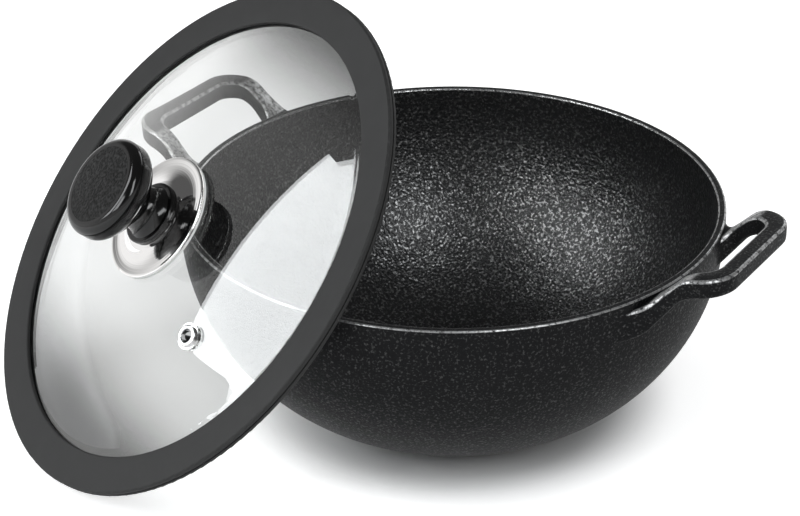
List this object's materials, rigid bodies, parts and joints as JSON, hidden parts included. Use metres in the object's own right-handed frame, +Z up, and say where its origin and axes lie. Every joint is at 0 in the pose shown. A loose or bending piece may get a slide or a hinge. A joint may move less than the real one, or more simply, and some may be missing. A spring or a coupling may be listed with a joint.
{
  "type": "kadai",
  "caption": "Deep round cast iron kadai with a flat base and loop handles, and a domed glass lid with a silicone rim leaning on it.",
  "frame": {"origin": "centre of the bowl's flat base, on the surface that it stands on", "axes": "+Z up, along the bowl's axis; the two loop handles lie along +X and -X; the lid leans on the bowl from -X, -Y"},
  "size_m": [0.3759, 0.3165, 0.1993],
  "materials": {
    "cast_iron": "seasoned black iron, shot-blasted grain, satin",
    "tempered_glass": "clear tempered glass, polished",
    "silicone": "charcoal silicone, matt",
    "clear_gasket": "translucent silicone, satin",
    "polished_steel": "polished stainless steel",
    "bakelite": "black phenolic moulding, glossy",
    "knob_disc": "black disc, fine leather-like grain, matt",
    "brass_bush": "turned brass",
    "plain_steel": "plain stainless steel, satin"
  },
  "bodies": {
    "kadai": {"kadai_casting": "cast_iron"},
    "lid": {"lid_glass": "tempered_glass", "silicone_rim": "silicone", "flange_gasket": "clear_gasket", "knob_flange": "polished_steel", "knob_body": "bakelite", "knob_cap": "knob_disc", "knob_insert": "brass_bush", "screw_gasket": "silicone", "screw_washer": "plain_steel", "knob_screw": "plain_steel", "vent_washer": "polished_steel", "vent_eyelet": "polished_steel", "vent_back_ring": "polished_steel"}
  },
  "joints": [
    {"name": "lid_lift", "type": "slide", "parent": "kadai", "child": "lid", "axis": [-0.3819, -0.6483, 0.6587], "range_m": [0, 0.2]}
  ]
}
